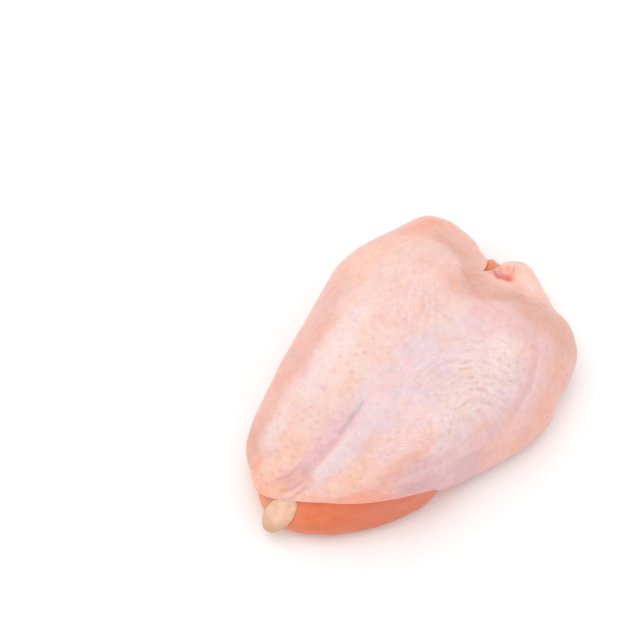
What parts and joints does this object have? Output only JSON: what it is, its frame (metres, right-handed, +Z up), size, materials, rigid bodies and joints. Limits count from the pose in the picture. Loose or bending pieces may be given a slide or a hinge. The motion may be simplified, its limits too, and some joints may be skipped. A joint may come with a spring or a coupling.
{
  "type": "raw chicken breast",
  "caption": "Whole raw chicken breast with its skin on, two rounded lobes beside a keel furrow, bare meat and a cartilage tip at the tail, flat underneath.",
  "frame": {"origin": "on the table, under the middle of the breast's box", "axes": "+Y along the keel from the tail to the neck end, +X to the right half seen from above with the neck end away, +Z up"},
  "size_m": [0.1278, 0.1854, 0.0615],
  "materials": {
    "meat": "moist, satin",
    "skin": "moist, satin, finely bumpy",
    "cartilage": "moist, smooth"
  },
  "bodies": {
    "root": {"meat": "meat", "skin": "skin", "keel_cartilage": "cartilage"}
  },
  "joints": []
}
